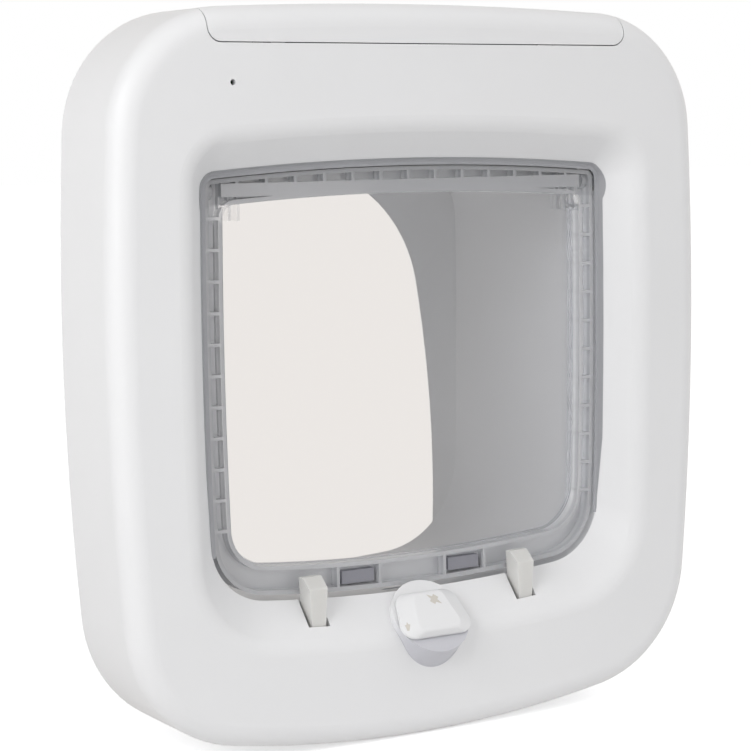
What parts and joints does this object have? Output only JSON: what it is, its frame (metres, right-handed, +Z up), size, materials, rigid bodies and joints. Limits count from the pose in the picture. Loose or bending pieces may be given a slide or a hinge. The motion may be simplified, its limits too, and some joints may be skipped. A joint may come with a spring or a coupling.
{
  "type": "pet door",
  "caption": "Cased cat flap, inner half: white frame with a sloped recess, a clear top-hung flap, a sliding catch, a turn knob lock and a tunnel through the door.",
  "frame": {"origin": "centre of the four door screw holes, on the door's inner face (y = 0)", "axes": "+X to the right seen from inside the house, +Y into the door, +Z up"},
  "size_m": [0.238, 0.1296, 0.2546],
  "materials": {
    "case_plastic": "satin moulded white",
    "clear_plastic": "clear moulding with a faint grey tint",
    "fork_plastic": "milky natural plastic",
    "inner_plastic": "plain inner moulding",
    "foam_rubber": "closed-cell black foam",
    "coil_copper": "enamelled copper winding",
    "ferrite_magnet": "dark ferrite",
    "steel": "zinc plated steel",
    "solenoid_metal": "plated frame",
    "battery_sleeve": "printed dark sleeve",
    "board_green": "solder mask",
    "chip_black": "moulded black",
    "led_lens": "clear lens"
  },
  "bodies": {
    "case": {"front_cover": "case_plastic", "rear_housing": "case_plastic", "tunnel_extension": "case_plastic", "mounting_gasket": "foam_rubber", "coil_former": "inner_plastic", "antenna_coil": "coil_copper", "circuit_board": "board_green", "board_chips": "chip_black", "status_led": "led_lens", "battery_tray": "inner_plastic", "battery_1": "battery_sleeve", "battery_2": "battery_sleeve", "battery_3": "battery_sleeve", "battery_4": "battery_sleeve", "battery_contacts": "steel", "latch_solenoid": "solenoid_metal", "latch_spring_right": "steel", "latch_spring_left": "steel", "pivot_bush_right": "inner_plastic", "pivot_bush_left": "inner_plastic", "case_screws": "steel", "sill_magnets": "ferrite_magnet", "button_switch": "chip_black"},
    "flap": {"flap_panel": "clear_plastic", "flap_magnets": "ferrite_magnet"},
    "catch": {"latch_fork": "fork_plastic", "solenoid_plunger": "steel"},
    "knob": {"lock_knob": "case_plastic", "lock_spindle": "steel", "lock_cam": "inner_plastic", "cam_screw": "steel"},
    "tongue": {"lock_tongue": "case_plastic"},
    "battery_lid": {"battery_cover": "case_plastic"},
    "button": {"learn_button": "fork_plastic"}
  },
  "joints": [
    {"name": "flap_swing", "type": "hinge", "parent": "case", "child": "flap", "pos_m": [0, -0.0246, 0.0649], "axis": [1, 0, 0], "range_deg": [0, 50]},
    {"name": "catch_drop", "type": "slide", "parent": "case", "child": "catch", "axis": [0, 0, -1], "range_m": [0, 0.0105], "stiffness_N_per_m": 100, "springref_m": -0.004, "deforming": ["latch_spring_right", "latch_spring_left"]},
    {"name": "knob_turn", "type": "hinge", "parent": "case", "child": "knob", "pos_m": [0, -0.03796, -0.08667], "axis": [0, -0.7459, 0.666], "range_deg": [0, 270]},
    {"name": "tongue_lift", "type": "slide", "parent": "case", "child": "tongue", "axis": [0, 0, 1], "range_m": [0, 0.00779]},
    {"name": "lid_lift", "type": "slide", "parent": "case", "child": "battery_lid", "axis": [0, 0, 1], "range_m": [0, 0.025]},
    {"name": "button_press", "type": "slide", "parent": "case", "child": "button", "axis": [0, 0, -1], "range_m": [0, 0.001], "stiffness_N_per_m": 300}
  ],
  "couplings": [
    {"joint": "tongue_lift", "follows": "knob_turn", "m_per_rad": 0.00165}
  ]
}
